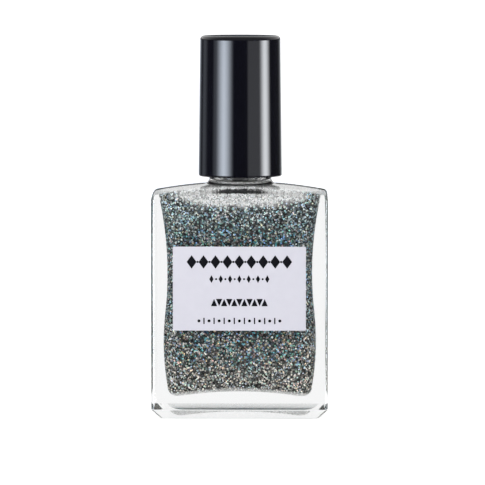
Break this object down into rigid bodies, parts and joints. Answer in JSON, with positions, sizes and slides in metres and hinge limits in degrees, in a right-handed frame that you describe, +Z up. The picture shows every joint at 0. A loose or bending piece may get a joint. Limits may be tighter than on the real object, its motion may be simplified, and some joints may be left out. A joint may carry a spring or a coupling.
{
  "type": "nail polish bottle",
  "caption": "Rectangular thick-glass nail lacquer bottle with a tall round screw cap that carries the brush, a paper label, and loose mixing balls in the lacquer.",
  "frame": {"origin": "middle of the foot, on the surface that the bottle stands on, under the neck's axis", "axes": "+Z up along the neck's axis, the label on the -Y side, +X to the viewer's right"},
  "size_m": [0.035, 0.0211, 0.0758],
  "materials": {
    "bottle_glass": "clear, fire polished",
    "lacquer": "grey lacquer full of holographic glitter",
    "label_paper": "matt coated paper, pale lavender",
    "label_ink": "black print",
    "cap_gloss": "polished black moulding",
    "closure_plastic": "black polypropylene",
    "liner_foam": "white foamed sealing ring",
    "stem_plastic": "black polyethylene, wet with lacquer at its foot",
    "staple_brass": "stamped wire",
    "bristle_nylon": "black nylon filaments",
    "ball_steel": "polished stainless steel"
  },
  "bodies": {
    "bottle": {"glass_bottle": "bottle_glass", "lacquer_fill": "lacquer", "front_label": "label_paper"},
    "seal": {"liner_washer": "liner_foam"},
    "brush": {"brush_stem": "stem_plastic", "bristle_staple": "staple_brass", "bristles": "bristle_nylon"},
    "cap": {"outer_cap": "cap_gloss", "inner_cap": "closure_plastic"},
    "ball_left": {"mixing_ball_left": "ball_steel"},
    "ball_right": {"mixing_ball_right": "ball_steel"}
  },
  "joints": [
    {"name": "cap_lift", "type": "slide", "parent": "bottle", "child": "seal", "axis": [0, 0, 1], "range_m": [0, 0.056], "deforming": ["lacquer_fill"]},
    {"name": "thread_rise", "type": "slide", "parent": "seal", "child": "brush", "axis": [0, 0, 1], "range_m": [0, 0.0032]},
    {"name": "cap_turn", "type": "hinge", "parent": "brush", "child": "cap", "pos_m": [0, 0, 0.058], "axis": [0, 0, 1], "range_deg": [0, 540]},
    {"name": "ball_left_rise", "type": "slide", "parent": "bottle", "child": "ball_left", "axis": [0, 0, 1], "range_m": [0, 0.035]},
    {"name": "ball_right_rise", "type": "slide", "parent": "bottle", "child": "ball_right", "axis": [0, 0, 1], "range_m": [0, 0.035]}
  ],
  "couplings": [
    {"joint": "thread_rise", "follows": "cap_turn", "m_per_rad": 0.00033688}
  ]
}
